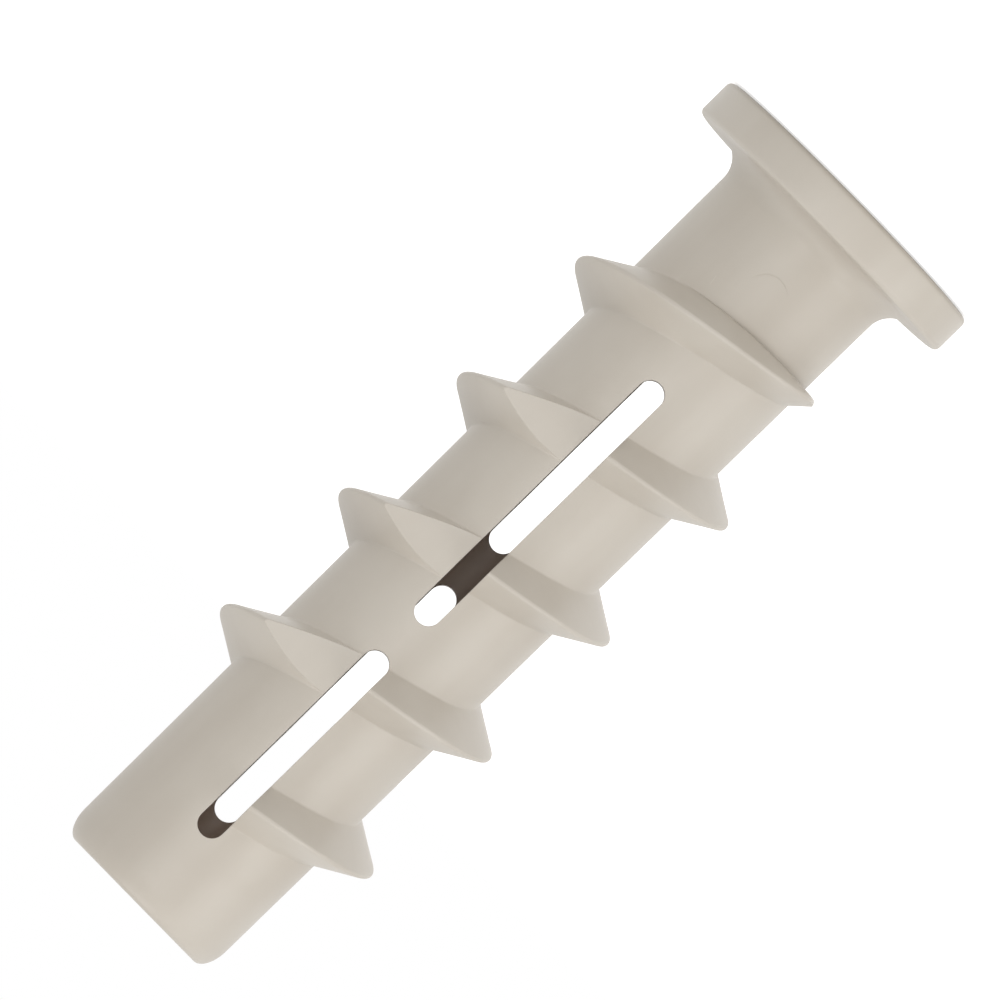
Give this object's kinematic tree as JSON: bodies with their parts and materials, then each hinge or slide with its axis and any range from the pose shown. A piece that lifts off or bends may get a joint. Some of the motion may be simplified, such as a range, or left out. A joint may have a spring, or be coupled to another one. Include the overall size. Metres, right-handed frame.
{
  "type": "aerated concrete anchor",
  "caption": "Moulded nylon plug for aerated concrete: round head flange, slotted shank with a helical outer fin, and a screw bore along its axis.",
  "frame": {"origin": "centre of the head's outer face, which is the lowest point of the part as it stands on its head", "axes": "+Z along the plug from the head to the tip, -Y through the middle of the front slots, +X across to the side where the fin beside the front slots is cut flat"},
  "size_m": [0.0168, 0.0168, 0.05],
  "materials": {
    "nylon": "pale warm grey moulded nylon, satin"
  },
  "bodies": {
    "root": {"anchor_body": "nylon"}
  },
  "joints": []
}
